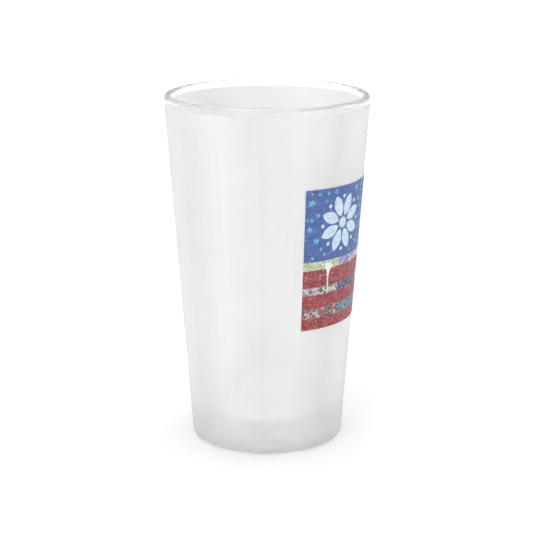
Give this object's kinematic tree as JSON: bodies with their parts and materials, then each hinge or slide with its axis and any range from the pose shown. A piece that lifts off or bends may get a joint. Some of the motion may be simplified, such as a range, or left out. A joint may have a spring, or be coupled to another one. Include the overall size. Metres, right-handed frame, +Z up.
{
  "type": "pint glass",
  "caption": "Tapered frosted pint glass with a clear rounded rim, a thick base and a printed wrap of stars, a rosette and stripes.",
  "frame": {"origin": "on the glass's axis, in the plane that the foot stands on", "axes": "+Z up along the glass's axis towards the rim; +X through the middle of the printed wrap"},
  "size_m": [0.0868, 0.0868, 0.15],
  "materials": {
    "clear_glass": "polished clear glass",
    "frosted_coat": "satin frosted, translucent white",
    "white_ink": "satin printed ink",
    "blue_ink": "satin printed ink",
    "star_ink": "satin printed ink",
    "emblem_ink": "satin printed ink, dry brushed",
    "red_ink": "satin printed ink with paint flecks",
    "patch_ink": "satin printed ink in many small patches",
    "splat_ink": "satin printed ink"
  },
  "bodies": {
    "root": {"glass_body": "clear_glass", "frosted_coating": "frosted_coat", "print_white_base": "white_ink", "print_blue_field": "blue_ink", "print_stars": "star_ink", "print_emblem": "emblem_ink", "print_red_stripes": "red_ink", "print_patch_stripes": "patch_ink", "print_paint_splat": "splat_ink"}
  },
  "joints": []
}
